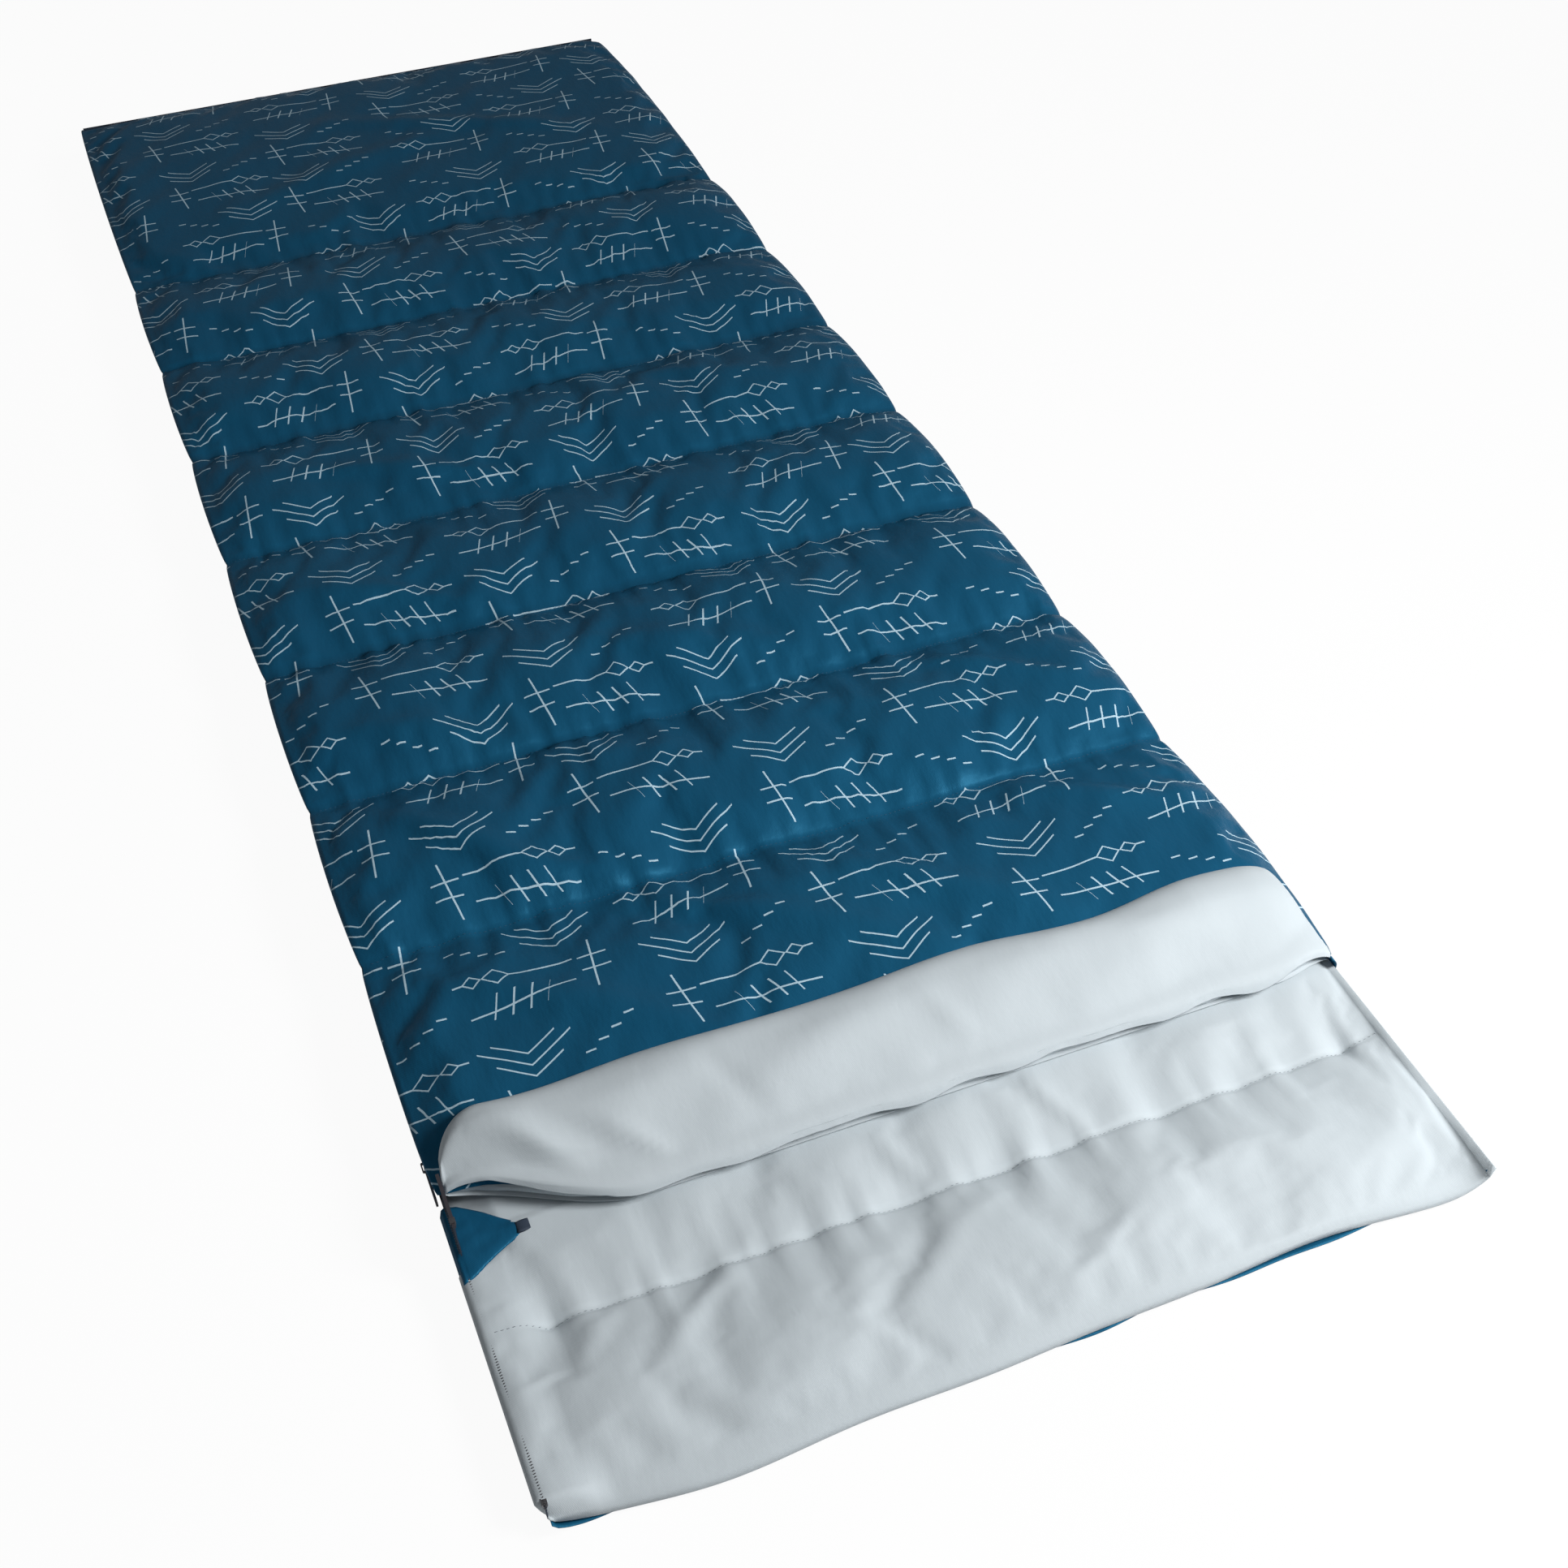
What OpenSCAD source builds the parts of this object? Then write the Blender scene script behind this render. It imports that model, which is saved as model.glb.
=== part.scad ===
// Rectangular sleeping bag, zipped down one side and across the foot.
// The head end of its cover is rolled back twice into a cuff.
// X runs across (zip side is -X, closed side is +X), Y from head to foot, Z up.
// The origin is on the floor, under the middle of the base.

/* [Bag] */
// Width of the bag, from the zip's hem to the closed side
bag_w = 750; // [600:10:900]
// Length of the bag, from the head hem to the foot hem
bag_l = 2200; // [1900:10:2400]
// Loft of each quilted layer at its crowns
loft = 27; // [24:0.5:40]
// Height of the empty space between base and cover
inner_gap = 6; // [5.8:0.1:12]
// Width over which a layer rounds off at a side
shoulder_w = 45; // [35:1:70]
// Thickness that the fabrics are drawn at
skin = 1; // [0.5:0.1:1.1]
// Clearance between plies that lie on each other
ply_gap = 0.3; // [0.2:0.05:0.4]

/* [Quilting] */
// Distance between two seams
seam_pitch = 200; // [150:5:260]
// From the head hem to the first seam of the base
base_first_seam = 150; // [120:5:170]
// From the head hem to the first seam of the cover
cover_first_seam = 516; // [450:1:560]
// Thickness left where a seam is sewn through
seam_t = 4; // [3:0.5:6]
// Least length of the last panel, at the foot
foot_panel = 300; // [240:10:400]
// How much narrower than the fabrics the fill is, each side
fill_inset = 10; // [6:1:15]

/* [Cuff] */
// Length of the base that the rolled cover leaves bare
mouth = 219; // [180:1:250]
// Width of the cuff, from the opening to its far fold
cuff_w = 105; // [80:1:115]
// Thickness of the cuff's two turns at their crown
cuff_t = 25; // [20:0.5:25.5]
// Thickness of the cuff at its two folds
cuff_edge_t = 11; // [9:0.5:14]
// Radius of the cuff's corner over the zip
cuff_corner = 45; // [20:1:60]

/* [Zip] */
// Visible and sewn width of one zip tape
tape_w = 11.5; // [10.8:0.1:12]
// Thickness of the zip tapes
tape_t = 0.9; // [0.6:0.1:1]
// Width of one row of the coil, across the zip
coil_w = 2.7; // [2:0.1:3]
// Thickness of the coil
coil_t = 2.6; // [2:0.1:2.8]
// Space between the two rows, where the slider's neck passes
row_gap = 1.8; // [1.6:0.1:2]

/* [Slider] */
// From the head hem to the slider
slider_from_head = 310; // [300:1:400]
// Length of the slider
slider_l = 14; // [12:0.5:16]
// Thickness of the slider's plates
plate_t = 1.6; // [1.2:0.1:1.7]
// Running clearance round coil, tape and neck
run_gap = 0.4; // [0.3:0.05:0.5]
// Length of the outer pull
outer_pull_l = 38; // [25:1:50]
// Width of the outer pull
outer_pull_w = 8; // [7.4:0.2:10]
// Thickness of the outer pull
outer_pull_t = 1.6; // [1.2:0.1:1.8]
// Length of the inner pull
inner_pull_l = 22; // [15:1:22]
// Width of the inner pull, which turns between base and cover
inner_pull_w = 5; // [4.8:0.1:5]

/* [Hidden] */
$fn = 32;

// Colours of the cloths and of the zip
blue = [0.07, 0.24, 0.38];
pale_grey = [0.70, 0.74, 0.77];
wadding = [0.93, 0.93, 0.91];
dark_tape = [0.10, 0.16, 0.24];
coil_grey = [0.30, 0.27, 0.30];
metal = [0.45, 0.44, 0.46];

// Places across and along the bag
side_x = bag_w / 2;
head_y = -bag_l / 2;
foot_y = bag_l / 2;
mouth_y = head_y + mouth;
cuff_far_y = mouth_y + cuff_w;
slider_y = head_y + slider_from_head;

// Heights of the layers' crowns and of the zip
base_top_z = loft;
cover_low_z = loft + inner_gap;
cover_top_z = cover_low_z + loft;
split_z = loft + inner_gap / 2;
hem_t = 2 * skin + ply_gap;
zip_x = -side_x - ply_gap - tape_t / 2;

// One row of the coil runs from coil_near to coil_far above or below the zip's middle
coil_near = row_gap / 2;
coil_far = coil_near + coil_w;
tape_near = coil_far + 0.15;
tape_far = tape_near + tape_w;
// A hem's middle lies under its tape, a little inside the tape's edge
hem_from_split = tape_far - hem_t;
lip_gap = 0.3;

// A mark is a line across the bag: [y, height of the fabric's underside, thickness there]
base_seam_z = 8.5;
cover_seam_z = cover_low_z + 8.5;
head_hem_z = 3;
base_seam_count = floor((bag_l - base_first_seam - foot_panel) / seam_pitch) + 1;
cover_seam_count = floor((bag_l - cover_first_seam - foot_panel) / seam_pitch) + 1;
base_marks = concat(
    [[head_y, head_hem_z, hem_t]],
    [for (k = [0 : base_seam_count - 1])
        [head_y + base_first_seam + k * seam_pitch, base_seam_z, seam_t]],
    [[foot_y, split_z - hem_from_split - hem_t, hem_t]]);
mouth_t = 15;
cover_marks = concat(
    [[mouth_y, cover_low_z + 0.5, mouth_t]],
    [for (k = [0 : cover_seam_count - 1])
        [head_y + cover_first_seam + k * seam_pitch, cover_seam_z, seam_t]],
    [[foot_y, split_z + hem_from_split, hem_t]]);

// Stations across one panel, from seam to seam, and across one shoulder, from hem to crown
panel_steps = [0, 0.05, 0.18, 0.5, 0.82, 0.95];
shoulder_steps = [0, fill_inset, mix(fill_inset, shoulder_w, 0.4), shoulder_w];
puff_power = 0.55;
flat_share = 1.45;

function mix(a, b, t) = a + (b - a) * t;
function stations(marks) = concat(
    [for (k = [0 : len(marks) - 2]) for (t = panel_steps) [k, t]],
    [[len(marks) - 2, 1]]);
function mark_mix(marks, s, n) = mix(marks[s[0]][n], marks[s[0] + 1][n], s[1]);
// 0 on a seam and 1 on a crown, straight between the stations
puff_table = [for (t = concat(panel_steps, [1]))
    [t, t == 0 || t == 1 ? 0 : pow(sin(180 * t), puff_power)]];
function puff(t) = lookup(t, puff_table);
// 0 on a side hem and 1 past the shoulder, straight between the columns
round_table = [for (d = shoulder_steps) [d, sqrt(1 - pow(1 - d / shoulder_w, 2))]];
function rounding(x) = lookup(side_x - abs(x), round_table);
// Places across the bag. The fill leaves out the outermost, so it is fill_inset narrower
columns = concat(
    [for (d = shoulder_steps) -side_x + d],
    [for (i = [len(shoulder_steps) - 1 : -1 : 0]) side_x - shoulder_steps[i]]);
function trimmed(list, n) = [for (i = [n : len(list) - 1 - n]) list[i]];

// Heights of a layer's two faces. Each side hem has its own height: [zip side, closed side]
base_hem_z = [split_z - hem_from_split - hem_t, split_z - lip_gap - hem_t];
cover_hem_z = [split_z + hem_from_split, split_z + lip_gap];
function side_of(pair, x) = x < 0 ? pair[0] : pair[1];
function edge_low(x, s, marks, hems) =
    mix(side_of(hems, x), mark_mix(marks, s, 1), rounding(x));
function edge_high(x, s, marks, hems) =
    edge_low(x, s, marks, hems) + mix(hem_t, mark_mix(marks, s, 2), rounding(x));
function base_low(x, s) =
    edge_low(x, s, base_marks, base_hem_z)
    * (1 - min(1, rounding(x) * flat_share * puff(s[1])));
function base_high(x, s) =
    mix(edge_high(x, s, base_marks, base_hem_z), base_top_z, rounding(x) * puff(s[1]));
function cover_low(x, s) =
    mix(edge_low(x, s, cover_marks, cover_hem_z), cover_low_z, rounding(x) * puff(s[1]));
function cover_high(x, s) =
    mix(edge_high(x, s, cover_marks, cover_hem_z), cover_top_z, rounding(x) * puff(s[1]));

// A closed ply over a grid: upper and lower hold one [x, y, z] for each place, row by row
module ply(nx, ny, upper, lower) {
    n = nx * ny;
    top_faces = [for (j = [0 : ny - 2]) for (i = [0 : nx - 2])
        let (a = j * nx + i) each [[a, a + nx, a + nx + 1], [a, a + nx + 1, a + 1]]];
    low_faces = [for (f = top_faces) [f[0] + n, f[2] + n, f[1] + n]];
    sides = [for (j = [0 : ny - 2]) let (a = j * nx, b = a + nx - 1) each [
        [a, a + n, a + nx + n, a + nx],
        [b, b + nx, b + nx + n, b + n]]];
    ends = [for (i = [0 : nx - 2]) let (b = (ny - 1) * nx + i) each [
        [i, i + 1, i + 1 + n, i + n],
        [b, b + n, b + 1 + n, b + 1]]];
    polyhedron(concat(upper, lower), concat(top_faces, low_faces, sides, ends), convexity = 10);
}

// One ply of a layer. Its faces are given as [share of the layer's thickness, rise in mm],
// and trim is the number of outermost columns that it leaves out
module layer_ply(marks, low, high, rows, trim, from, to) {
    xs = trimmed(columns, trim);
    function face(f) = [for (s = rows) for (x = xs)
        [x, mark_mix(marks, s, 0), mix(low(x, s), high(x, s), f[0]) + f[1]]];
    ply(len(xs), len(rows), face(to), face(from));
}
// The stations of one panel, without its two seams
function panel_rows(k) = [for (i = [1 : len(panel_steps) - 1]) [k, panel_steps[i]]];

// Where each ply of a layer starts and ends
on_low = [0, 0];
in_low = [0, skin];
fill_low = [0, skin + ply_gap];
fill_high = [1, -skin - ply_gap];
in_high = [1, -skin];
on_high = [1, 0];

module base_ply(rows, trim, from, to)
    layer_ply(base_marks, function (x, s) base_low(x, s), function (x, s) base_high(x, s),
        rows, trim, from, to);
module cover_ply(rows, trim, from, to)
    layer_ply(cover_marks, function (x, s) cover_low(x, s), function (x, s) cover_high(x, s),
        rows, trim, from, to);

module base_shell() color(blue) base_ply(stations(base_marks), 0, on_low, in_low);
module base_lining() color(pale_grey) base_ply(stations(base_marks), 0, in_high, on_high);
// Each panel between two seams is filled with a pad of its own
module base_fill() color(wadding)
    for (k = [0 : len(base_marks) - 2]) base_ply(panel_rows(k), 1, fill_low, fill_high);
module cover_shell() color(blue) cover_ply(stations(cover_marks), 0, in_high, on_high);
module cover_lining() color(pale_grey) cover_ply(stations(cover_marks), 0, on_low, in_low);
module cover_fill() color(wadding)
    for (k = [0 : len(cover_marks) - 2]) cover_ply(panel_rows(k), 1, fill_low, fill_high);

// The cuff: two turns of the cover, folded over each other and laid on the cover
cuff_rest = 0.7;
cuff_near_y = mouth_y + 1;
cuff_side_inset = 1.5;
cuff_edge_x = side_x - cuff_side_inset;
cuff_end_share = 0.55;
cuff_steps = [0, 0.04, 0.14, 0.32, 0.5, 0.68, 0.86, 0.96, 1];
cuff_pad = (cuff_t - 3 * skin - 4 * ply_gap) / 2;
first_panel = cover_first_seam - mouth;
// Far edge of the cuff, drawn back round its corner over the zip
function cuff_far(x) =
    let (d = min(x + cuff_edge_x, cuff_corner) / cuff_corner)
    cuff_far_y - cuff_corner * (1 - sqrt(max(0, 1 - pow(1 - d, 2))));
function cuff_y(x, u) = mix(cuff_near_y, cuff_far(x), u);
// The cuff's underside follows the cover's top face
function cuff_low(x, u) = cover_high(x, [0, (cuff_y(x, u) - mouth_y) / first_panel]) + cuff_rest;
function cuff_rise(x, u) =
    mix(cuff_edge_t, cuff_t, puff(u)) * mix(cuff_end_share, 1, rounding(x));
// Layers of the cuff as shares of its thickness, from the cover upwards
function cuff_share(z) = z / cuff_t;
module cuff_ply(trim, from_z, to_z) {
    xs = trimmed([for (x = columns) max(-cuff_edge_x, min(cuff_edge_x, x))], trim);
    rows = trimmed(cuff_steps, trim);
    function face(z) = [for (u = rows) for (x = xs) [
        x,
        cuff_y(x, u),
        cuff_low(x, u) + cuff_rise(x, u) * cuff_share(z)]];
    ply(len(xs), len(rows), face(to_z), face(from_z));
}
cuff_pad_low = skin + ply_gap;
cuff_mid = cuff_pad_low + cuff_pad + ply_gap;
cuff_pad_high = cuff_mid + skin + ply_gap;
module cuff_under_lining() color(pale_grey) cuff_ply(0, 0, skin);
module cuff_lower_fill() color(wadding) cuff_ply(1, cuff_pad_low, cuff_pad_low + cuff_pad);
module cuff_shell() color(blue) cuff_ply(0, cuff_mid, cuff_mid + skin);
module cuff_upper_fill() color(wadding) cuff_ply(1, cuff_pad_high, cuff_t - skin - ply_gap);
module cuff_lining() color(pale_grey) cuff_ply(0, cuff_t - skin, cuff_t);

// A strip that runs down the zip side from start_y and turns across the foot.
// t is its thickness across the hem, centred on the zip
foot_zip_end = side_x - 10;
module zip_strip(start_y, z0, z1, t) {
    out = -zip_x + t / 2;
    inside = -zip_x - t / 2;
    foot_in = foot_y - side_x + inside;
    foot_out = foot_y - side_x + out;
    translate([0, 0, z0])
        linear_extrude(z1 - z0)
            polygon([
                [-out, start_y], [-out, foot_out], [foot_zip_end, foot_out],
                [foot_zip_end, foot_in], [-inside, foot_in], [-inside, start_y]]);
}

base_zip_start = head_y + 8;
stop_l = 5;
module base_zip_tape() color(dark_tape)
    zip_strip(base_zip_start, split_z - tape_far, split_z - tape_near, tape_t);
module base_zip_coil() color(coil_grey)
    zip_strip(base_zip_start, split_z - coil_far, split_z - coil_near, coil_t);
module cover_zip_tape() color(dark_tape)
    zip_strip(mouth_y, split_z + tape_near, split_z + tape_far, tape_t);
// The cover's row is left out inside the slider, so that it can lift away from it
module cover_zip_coil() color(coil_grey) {
    difference() {
        zip_strip(mouth_y + 2, split_z + coil_near, split_z + coil_far, coil_t);
        translate([zip_x - coil_t, slider_y - slider_l / 2 - 1, split_z])
            cube([2 * coil_t, slider_l + 2, coil_far + 1]);
    }
}

// A bent metal clip that closes over the top of one row of the coil, which runs along Y
clip_t = 0.8;
clip_fit = 0.05;
module coil_clip()
    difference() {
        translate([-coil_t / 2 - clip_t, -stop_l / 2, 0])
            cube([coil_t + 2 * clip_t, stop_l, coil_w + clip_t]);
        translate([-coil_t / 2 - clip_fit, -stop_l, -1])
            cube([coil_t + 2 * clip_fit, 2 * stop_l, coil_w + 1 + clip_fit]);
    }
module base_top_stop() color(metal)
    translate([zip_x, base_zip_start + stop_l, split_z - coil_far]) coil_clip();
// The stop at the far end of the foot grips the base's row only, clear of the cover's
module foot_stop() color(metal)
    translate([foot_zip_end - stop_l, foot_y - side_x - zip_x, split_z - coil_far])
        rotate(90) coil_clip();

// The base's corner beside the open zip, turned in so that its outside shows
flap_t = 3.2;
flap_reach = 58;
// The flap starts just inside the coil
flap_edge_x = zip_x + coil_t / 2 + ply_gap;
flap_r = 4;
flap_foot_y = slider_y - 46;
flap_tip_y = slider_y - 88;
flap_head_y = slider_y - 122;
flap_z = base_top_z + ply_gap;
module corner_flap() color(blue)
    translate([0, 0, flap_z])
        linear_extrude(flap_t)
            hull() {
                translate([flap_edge_x + flap_r, flap_foot_y]) circle(flap_r);
                translate([flap_edge_x + flap_reach * 0.55, flap_foot_y - 20]) circle(flap_r);
                translate([flap_edge_x + flap_reach - flap_r, flap_tip_y]) circle(flap_r);
                translate([flap_edge_x + flap_r, flap_head_y]) circle(flap_r);
            }
module flap_tab() color(dark_tape)
    translate([flap_edge_x + flap_reach + ply_gap, flap_tip_y - 6, flap_z])
        cube([9, 12, flap_t - 0.6]);

// Narrow padded strip inside the cover, behind the zip, hung close under the lining
baffle_r = 1.7;
baffle_rest = 0.6;
baffle_lip_r = 0.5;
baffle_ribs = [[fill_inset / 2, baffle_r], [fill_inset, baffle_lip_r], [14, baffle_lip_r]];
baffle_end_gap = 40;
baffle_start_y = slider_y + slider_l;
baffle_l = foot_y - baffle_end_gap - baffle_start_y;
// The lining over it is lowest in the first panel
baffle_share = (baffle_start_y - mouth_y) / first_panel;
function baffle_z(rib) =
    min([for (t = [baffle_share, 0.5]) cover_low(-side_x + rib[0], [0, t])])
    - baffle_rest - 1.15 * rib[1];
module baffle_rib(rib) translate([-side_x + rib[0], baffle_z(rib)]) circle(rib[1]);
module draught_baffle() color(pale_grey)
    translate([0, baffle_start_y + baffle_l, 0])
        rotate([90, 0, 0])
            linear_extrude(baffle_l)
                for (k = [0, 1])
                    hull() {
                        baffle_rib(baffle_ribs[k]);
                        baffle_rib(baffle_ribs[k + 1]);
                    }

// The cuff's own length of zip, folded over with it and standing at its end
cuff_zip_x = -cuff_edge_x - ply_gap - clip_t - coil_t / 2;
cuff_zip_y = cuff_near_y + 6;
cuff_zip_l = cuff_w - cuff_corner - 10;
cuff_tape_z = cuff_low(-cuff_edge_x, 0.5) + 0.5 * cuff_end_share * cuff_t;
cuff_coil_z = cuff_tape_z + tape_w / 2 + 0.15;
module cuff_zip_tape() color(dark_tape)
    translate([cuff_zip_x - tape_t / 2, cuff_zip_y, cuff_tape_z - tape_w / 2])
        cube([tape_t, cuff_zip_l, tape_w]);
module cuff_zip_coil() color(coil_grey)
    translate([cuff_zip_x - coil_t / 2, cuff_zip_y, cuff_coil_z])
        cube([coil_t, cuff_zip_l, coil_w]);
module cover_top_stop() color(metal)
    translate([cuff_zip_x, cuff_zip_y + stop_l, cuff_coil_z]) coil_clip();

// The slider: two plates with flanges that close round both rows, joined by the neck
chan_x = coil_t / 2 + run_gap;
slot_x = tape_t / 2 + run_gap;
chan_z = coil_far + run_gap;
plate_h = chan_z + 1.3;
neck_t = row_gap - 2 * 0.3;
neck_l = 3.5;
module slider_section() {
    for (side = [-1, 1]) {
        translate([side * (chan_x + plate_t / 2), 0])
            square([plate_t, 2 * plate_h], center = true);
        for (edge = [-1, 1])
            translate([side * (slot_x + (chan_x - slot_x + 0.2) / 2), edge * (chan_z + 0.65)])
                square([chan_x - slot_x + 0.2, 1.3], center = true);
    }
    square([2 * chan_x + 0.2, neck_t], center = true);
}
// Outline of the plates: wide at the head end, where the rows part, with rounded shoulders
module slider_outline() {
    shoulder_r = 3;
    difference() {
        square([slider_l, 2 * plate_h], center = true);
        for (edge = [-1, 1])
            translate([slider_l / 2, edge * (plate_h + 3.2)]) circle(5, $fn = 48);
        for (edge = [-1, 1])
            translate([-slider_l / 2 - 1.6, edge * (plate_h + 1)]) rotate(45 * edge)
                square([shoulder_r, 2 * shoulder_r], center = true);
    }
}
module slider_body() color(metal)
    translate([zip_x, slider_y, split_z])
        difference() {
            intersection() {
                rotate([90, 0, 0])
                    linear_extrude(slider_l, center = true) slider_section();
                rotate([0, 90, 0])
                    rotate(90)
                        linear_extrude(2 * (chan_x + plate_t) + 1, center = true)
                            slider_outline();
            }
            // behind the neck the channel is clear for both rows
            translate([-chan_x, -slider_l / 2 + neck_l, -row_gap])
                cube([2 * chan_x, slider_l, 2 * row_gap]);
        }

// The bridge is an arch along the zip, clinched on a plate; a pull's pin lies under it
bridge_l = 9;
pin_r = 0.8;
arch_t = 1;
module bridge(strap_w, rise) {
    rotate([90, 0, 90])
        linear_extrude(strap_w, center = true)
            difference() {
                translate([-bridge_l / 2, 0]) square([bridge_l, rise]);
                translate([-bridge_l / 2 + arch_t, -1])
                    square([bridge_l - 2 * arch_t, rise - arch_t + 1]);
                for (end = [-1, 1])
                    translate([end * bridge_l / 2, rise]) rotate(45)
                        square([1.2, 1.2], center = true);
            }
}
outer_face_x = zip_x - chan_x - plate_t;
inner_face_x = zip_x + chan_x + plate_t;
outer_rise = 4.2;
inner_rise = 3.4;
outer_strap = 2.4;
inner_strap = 1.4;
module outer_bridge() color(metal)
    translate([outer_face_x, slider_y, split_z])
        rotate([0, -90, 0]) rotate(90) rotate([0, 0, -90]) bridge(outer_strap, outer_rise);
module inner_bridge() color(metal)
    translate([inner_face_x, slider_y, split_z])
        rotate([0, 90, 0]) bridge(inner_strap, inner_rise);

// A pull: a pin under the bridge between two arms, and a tongue with a hole at its end.
// It lies along +Y from the pin, flat in the zip's plane
module pull(l, w, t, strap_w) {
    frame_l = 7;
    arm = (w - strap_w) / 2 - 0.35;
    cylinder(h = w, r = pin_r, center = true);
    for (edge = [-1, 1])
        translate([-t / 2, 0, edge * (w - arm) / 2 - arm / 2])
            cube([t, frame_l, arm]);
    difference() {
        translate([-t / 2, frame_l - 0.1, -w / 2])
            cube([t, l - frame_l - w / 2 + 0.1, w]);
        translate([0, l - w / 2 - 1, 0]) rotate([0, 90, 0])
            cylinder(h = 2 * t, r = w / 5, center = true);
    }
    difference() {
        translate([0, l - w / 2, 0]) rotate([0, 90, 0])
            cylinder(h = t, r = w / 2, center = true);
        translate([0, l - w / 2 - 1, 0]) rotate([0, 90, 0])
            cylinder(h = 2 * t, r = w / 5, center = true);
    }
}
outer_pin_x = outer_face_x - 1.6;
inner_pin_x = inner_face_x + 1.3;
inner_pull_t = 1.2;
module outer_pull() color(metal)
    translate([outer_pin_x, slider_y, split_z])
        rotate([180, 0, 0]) pull(outer_pull_l, outer_pull_w, outer_pull_t, outer_strap);
module inner_pull() color(metal)
    translate([inner_pin_x, slider_y, split_z])
        pull(inner_pull_l, inner_pull_w, inner_pull_t, inner_strap);

base_shell();
base_fill();
base_lining();
base_zip_tape();
base_zip_coil();
base_top_stop();
foot_stop();
corner_flap();
flap_tab();
cover_shell();
cover_fill();
cover_lining();
cover_zip_tape();
cover_zip_coil();
draught_baffle();
cuff_lining();
cuff_upper_fill();
cuff_shell();
cuff_lower_fill();
cuff_under_lining();
cuff_zip_tape();
cuff_zip_coil();
cover_top_stop();
slider_body();
outer_bridge();
inner_bridge();
outer_pull();
inner_pull();
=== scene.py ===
import math

import bmesh
import bpy
import numpy as np
from mathutils import Matrix, Vector
from mathutils.bvhtree import BVHTree


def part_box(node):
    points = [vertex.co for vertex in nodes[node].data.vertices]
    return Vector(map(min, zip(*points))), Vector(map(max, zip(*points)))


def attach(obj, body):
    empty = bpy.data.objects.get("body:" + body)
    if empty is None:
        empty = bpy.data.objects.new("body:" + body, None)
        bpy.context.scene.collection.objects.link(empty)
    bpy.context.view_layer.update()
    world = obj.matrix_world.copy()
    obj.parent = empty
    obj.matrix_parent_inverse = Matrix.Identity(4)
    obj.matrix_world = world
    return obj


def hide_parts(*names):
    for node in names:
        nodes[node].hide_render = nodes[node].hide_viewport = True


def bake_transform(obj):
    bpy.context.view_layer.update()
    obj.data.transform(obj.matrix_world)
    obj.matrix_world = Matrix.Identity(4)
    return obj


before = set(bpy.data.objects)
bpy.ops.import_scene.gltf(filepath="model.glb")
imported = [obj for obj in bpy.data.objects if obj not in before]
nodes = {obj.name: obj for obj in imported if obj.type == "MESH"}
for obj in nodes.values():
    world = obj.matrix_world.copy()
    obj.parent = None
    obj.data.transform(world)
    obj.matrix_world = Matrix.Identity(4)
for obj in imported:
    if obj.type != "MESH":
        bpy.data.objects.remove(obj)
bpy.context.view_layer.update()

MM = 0.001

# Places along and across the bag, from the frame
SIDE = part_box("base_lining")[1][0]
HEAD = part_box("base_lining")[0][1]
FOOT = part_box("base_lining")[1][1]
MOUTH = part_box("cover_shell")[0][1]
CUFF_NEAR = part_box("cuff_lining")[0][1]
SPLIT = 30 * MM
PITCH = 200 * MM
BASE_SEAMS = [HEAD + 150 * MM + k * PITCH for k in range(9)]
COVER_SEAMS = [HEAD + 516 * MM + k * PITCH for k in range(7)]
SHOULDER = 45 * MM
# Height of the base's and the cover's lower faces at their side hems, and of the filled panels
BASE_ZIP_HEM, BASE_CLOSED_HEM, BASE_LOFT = 16 * MM, 27.4 * MM, 27 * MM
COVER_ZIP_HEM, COVER_CLOSED_HEM, COVER_SAG, COVER_LOFT = 41.7 * MM, 30.3 * MM, 33 * MM, 60 * MM
HEM_THICK = 2.3 * MM

# Lines across each layer: [y, height of its underside, thickness]
BASE_LINES = np.array(
    [[HEAD, 3 * MM, HEM_THICK]]
    + [[y, 8.5 * MM, 4 * MM] for y in BASE_SEAMS]
    + [[FOOT, BASE_ZIP_HEM, HEM_THICK]]
)
COVER_LINES = np.array(
    [[MOUTH, 33.5 * MM, 10 * MM]]
    + [[y, 41.5 * MM, 4 * MM] for y in COVER_SEAMS]
    + [[FOOT, COVER_ZIP_HEM, HEM_THICK]]
)


def mix(a, b, t):
    return a + (b - a) * t


def crown(t):
    """0 on a seam and 1 in the middle of a panel."""
    return np.sin(np.pi * np.clip(t, 0, 1)) ** 0.55


def shoulder(x):
    """0 on a side hem and 1 past the shoulder."""
    d = np.clip((SIDE - np.abs(x)) / SHOULDER, 0, 1)
    return np.sqrt(1 - (1 - d) ** 2)


def panel_share(y, lines):
    k = np.clip(np.searchsorted(lines[:, 0], y, side="right") - 1, 0, len(lines) - 2)
    return (y - lines[k, 0]) / (lines[k + 1, 0] - lines[k, 0])


def hem_height(x, zip_side, closed_side):
    return np.where(x < 0, zip_side, closed_side)


def base_faces(x, y):
    """Heights of the base's underside and top."""
    r, c = shoulder(x), crown(panel_share(y, BASE_LINES))
    level = np.interp(y, BASE_LINES[:, 0], BASE_LINES[:, 1])
    thick = np.interp(y, BASE_LINES[:, 0], BASE_LINES[:, 2])
    edge = mix(hem_height(x, BASE_ZIP_HEM, BASE_CLOSED_HEM), level, r)
    low = edge * (1 - np.minimum(1, r * 1.45 * c))
    high = mix(edge + mix(HEM_THICK, thick, r), BASE_LOFT, r * c)
    return low, high


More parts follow.
